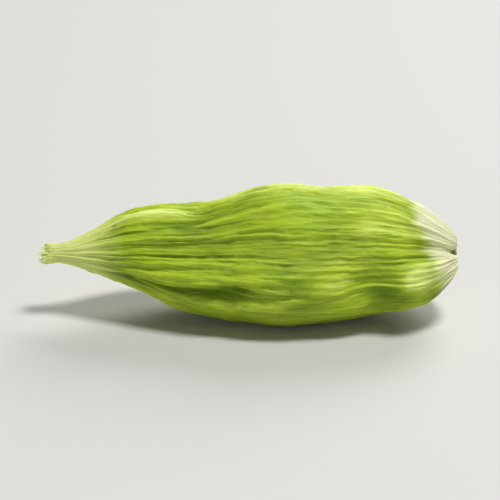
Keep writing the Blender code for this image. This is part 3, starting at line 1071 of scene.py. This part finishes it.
shred_tree, shred_size = new_tree("beak_shreds", SHRED_SIZES)
ring = add(shred_tree, "GeometryNodeMeshLine", {"Count": shred_size["Shreds"]})
number = add(shred_tree, "GeometryNodeInputIndex")
stray = random_between(shred_tree, -RING_STRAY, RING_STRAY, 5)
number = add(shred_tree, MATH, [number, stray], operation="ADD")
share = add(shred_tree, MATH, [number, shred_size["Shreds"]], operation="DIVIDE")
ring_turn = add(shred_tree, MATH, [share, 2 * math.pi], operation="MULTIPLY")
ring_range = (shred_size["Smallest ring"], shred_size["Largest ring"])
ring_out = random_between(shred_tree, *ring_range, shred_size["Seed"])
ring_place = round_the_axis(shred_tree, SHRED_START, ring_turn, ring_out)
ring_place = in_the_frame(shred_tree, ring_place)
ring = add(shred_tree, "GeometryNodeSetPosition", {"Geometry": ring, "Position": ring_place})
shred = add(shred_tree, "GeometryNodeCurvePrimitiveLine", {"Start": (0.0, 0.0, 0.0), "End": (-1.0, 0.0, 0.0)})
shred = add(shred_tree, "GeometryNodeResampleCurve", {"Curve": shred, "Count": FIBRE_POINTS})
reach = random_between(shred_tree, shred_size["Shortest"], shred_size["Longest"], 9)
reach = add(shred_tree, MATH, [reach, MM], operation="MULTIPLY")
shreds = add(
    shred_tree,
    "GeometryNodeInstanceOnPoints",
    {"Points": ring, "Instance": shred, "Scale": add(shred_tree, "ShaderNodeCombineXYZ", [reach, 1.0, 1.0])},
)
shreds = add(shred_tree, "GeometryNodeRealizeInstances", [shreds])
print("The ring has", SHRED_SIZES["Shreds"][1], "shreds")

# %% Bend and curl the shreds
CURLS_PER_MM = 1.6
SHRED_CURL = 0.5

along_shred = add(shred_tree, "GeometryNodeSplineParameter").outputs["Factor"]
here = add(shred_tree, "GeometryNodeInputPosition")
bend = add(shred_tree, MATH, [along_shred, 2.0], operation="POWER")
bend = add(shred_tree, MATH, [bend, shred_size["Spread"]], operation="MULTIPLY")
bend = add(shred_tree, MATH, [bend, MM], operation="MULTIPLY")
bend = add(shred_tree, VECTOR, {0: outwards(shred_tree, here), "Scale": bend}, operation="SCALE")
curl = add(shred_tree, NOISE, {"Vector": here, "Scale": CURLS_PER_MM / MM}).outputs["Color"]
curl = add(shred_tree, VECTOR, [curl, (0.5, 0.5, 0.5)], operation="SUBTRACT")
curl_size = add(shred_tree, MATH, [along_shred, SHRED_CURL * MM], operation="MULTIPLY")
curl = add(shred_tree, VECTOR, {0: curl, "Scale": curl_size}, operation="SCALE")
shreds = add(
    shred_tree,
    "GeometryNodeSetPosition",
    {"Geometry": shreds, "Offset": add(shred_tree, VECTOR, [bend, curl], operation="ADD")},
)
print("A shred's end bends outwards by", SHRED_SIZES["Spread"][1], "mm")

# %% Make solid shreds of the lines
SHRED_TAPER = ((0.0, 1.0), (0.5, 0.9), (0.85, 0.55), (1.0, 0.25))

shred_sides = [
    add(shred_tree, MATH, [shred_size[side], MM], operation="MULTIPLY") for side in ("Width", "Thickness")
]
profile = add(shred_tree, "GeometryNodeCurvePrimitiveQuadrilateral", shred_sides)
taper = draw_curve(add(shred_tree, CURVE, {"Value": along_shred}), SHRED_TAPER)
shreds = add(
    shred_tree,
    "GeometryNodeCurveToMesh",
    {"Curve": shreds, "Profile Curve": profile, "Scale": taper, "Fill Caps": True},
)
finish_tree(shred_tree, shreds, shred_size["Finish"])

beak_shreds = grow("beak_shreds", shred_tree, SHRED_SIZES)
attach(beak_shreds, "root")

# %% [markdown]
# Where the stalk broke off, the ends of its veins stand up as little stubs all over the round scar.
# Nature spaces such things evenly by turning each one by the golden angle from the one before.

# %% Set the vein stubs in the stalk scar
SCAR_STRAW = "#C9B982"
SCAR_DARK = "#8E7747"
GOLDEN_ANGLE = math.pi * (3 - math.sqrt(5))

STUB_SIZES = {
    "Stubs": ("NodeSocketInt", 34),
    "Scar radius": ("NodeSocketFloat", 0.27),
    "Half thickness": ("NodeSocketFloat", 0.028),
    "Shortest": ("NodeSocketFloat", 0.5),
    "Longest": ("NodeSocketFloat", 1.4),
    "Seed": ("NodeSocketInt", 2),
    "Finish": ("NodeSocketMaterial", dry_fibre("torn_stalk_fibre", SCAR_STRAW, SCAR_DARK)),
}
# millimetres, which "Shortest" and "Longest" multiply
STUB_LENGTH = 0.16
STUB_START = POD_LENGTH - 0.27
STUB_SIDES = 7

stub_tree, stub_size = new_tree("stalk_scar_stubs", STUB_SIZES)
field = add(stub_tree, "GeometryNodeMeshLine", {"Count": stub_size["Stubs"]})
number = add(stub_tree, "GeometryNodeInputIndex")
stub_turn = add(stub_tree, MATH, [number, GOLDEN_ANGLE], operation="MULTIPLY")
stub_out = add(stub_tree, MATH, [number, stub_size["Stubs"]], operation="DIVIDE")
stub_out = add(stub_tree, MATH, [stub_out], operation="SQRT")
stub_out = add(stub_tree, MATH, [stub_out, stub_size["Scar radius"]], operation="MULTIPLY")
stub_place = round_the_axis(stub_tree, STUB_START, stub_turn, stub_out)
stub_place = in_the_frame(stub_tree, stub_place)
field = add(stub_tree, "GeometryNodeSetPosition", {"Geometry": field, "Position": stub_place})
half = add(stub_tree, MATH, [stub_size["Half thickness"], MM], operation="MULTIPLY")
stub_sizes = {"Vertices": STUB_SIDES, "Radius": half, "Depth": STUB_LENGTH * MM}
stub = add(stub_tree, "GeometryNodeMeshCylinder", stub_sizes)
height = random_between(stub_tree, stub_size["Shortest"], stub_size["Longest"], stub_size["Seed"])
stubs = add(
    stub_tree,
    "GeometryNodeInstanceOnPoints",
    {
        "Points": field,
        "Instance": stub,
        "Rotation": (0.0, math.pi / 2, 0.0),
        "Scale": add(stub_tree, "ShaderNodeCombineXYZ", [1.0, 1.0, height]),
    },
)
finish_tree(stub_tree, stubs, stub_size["Finish"])

scar_stubs = grow("stalk_scar_stubs", stub_tree, STUB_SIZES)
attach(scar_stubs, "root")

# %% [markdown]
# ## The table, the light and the camera
#
# The photograph looks down on the pod by about 23 degrees, from far away, so a long lens from the
# same height gives the same view. Its brightest light comes from the upper right, a little behind.
# The pod lies on a matt board, which shows no shine, only the pod's own soft shadow.

# %% Lay the table
TABLE_HALF = 600 * MM
TABLE_GAP = 0.02 * MM
TABLE_WHITE = "#C9C8C4"

table_mesh = bpy.data.meshes.new("table")
corners = [(-1, -1), (1, -1), (1, 1), (-1, 1)]
table_mesh.from_pydata([(x * TABLE_HALF, y * TABLE_HALF, -TABLE_GAP) for x, y in corners], [], [(0, 1, 2, 3)])
table = bpy.data.objects.new("table", table_mesh)
bpy.context.scene.collection.objects.link(table)
table_paint = bpy.data.materials.new("matt_white_board")
table_paint.use_nodes = True
table_shader = table_paint.node_tree.nodes["Principled BSDF"]
table_shader.inputs["Base Color"].default_value = colour(TABLE_WHITE)
table_shader.inputs["Roughness"].default_value = 0.8
table_mesh.materials.append(table_paint)
table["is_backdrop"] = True
print("The table is", round(2 * TABLE_HALF / MM), "mm wide")

# %% Set the lights
POD_MIDDLE = (pod_low + pod_high) / 2

LIGHTS = {
    # name: where it stands from the pod's middle in millimetres, its width in millimetres, its watts
    "key_above": ((95.0, -60.0, 345.0), 90.0, 1.10),
    "rim_right_behind": ((150.0, 300.0, 240.0), 240.0, 1.15),
    "fill_front_left": ((-160.0, -380.0, 110.0), 260.0, 0.28),
}


def soft_light(name, place, width, watts):
    """A square area light that faces the pod."""
    lamp = bpy.data.lights.new(name, "AREA")
    lamp.size = width * MM
    lamp.energy = watts
    light = bpy.data.objects.new(name, lamp)
    light.location = POD_MIDDLE + Vector(place) * MM
    light.rotation_euler = (-Vector(place)).to_track_quat("-Z", "Y").to_euler()
    bpy.context.scene.collection.objects.link(light)


for name, (place, width, watts) in LIGHTS.items():
    soft_light(name, place, width, watts)
total = sum(watts for place, width, watts in LIGHTS.values())
print(len(LIGHTS), "soft lights give", round(total, 2), "W in all")

# %% Set the world
WORLD_WHITE = "#EEF1F4"
WORLD_STRENGTH = 0.13

world = bpy.data.worlds.new("pale_room")
world.use_nodes = True
sky = world.node_tree.nodes["Background"]
sky.inputs["Color"].default_value = colour(WORLD_WHITE)
sky.inputs["Strength"].default_value = WORLD_STRENGTH
bpy.context.scene.world = world
bpy.context.scene.view_settings.view_transform = "Standard"
print("The room gives light from all sides, at a strength of", WORLD_STRENGTH)

# %% Set the camera
CAMERA_ABOVE = math.radians(23.0)
LENS = 150.0
POD_SHARE_OF_WIDTH = 0.84

camera_data = bpy.data.cameras.new("camera")
camera_data.lens = LENS
camera_data.clip_start = 10 * MM
camera = bpy.data.objects.new("camera", camera_data)
bpy.context.scene.collection.objects.link(camera)
bpy.context.scene.camera = camera
away = Vector((0.0, -math.cos(CAMERA_ABOVE), math.sin(CAMERA_ABOVE)))
distance = pod_size.x / POD_SHARE_OF_WIDTH * LENS / camera_data.sensor_width
camera.location = POD_MIDDLE + away * distance
camera.rotation_euler = (-away).to_track_quat("-Z", "Y").to_euler()
print("The camera is", round(distance / MM), "mm from the pod")

# %% Measure the sizes and finish
boxes = {"cad": cad_box, "visual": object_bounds()}
grown_size = [round((high - low) / MM, 2) for low, high in zip(*boxes["visual"])]
print("With its husk the pod measures", grown_size, "mm")
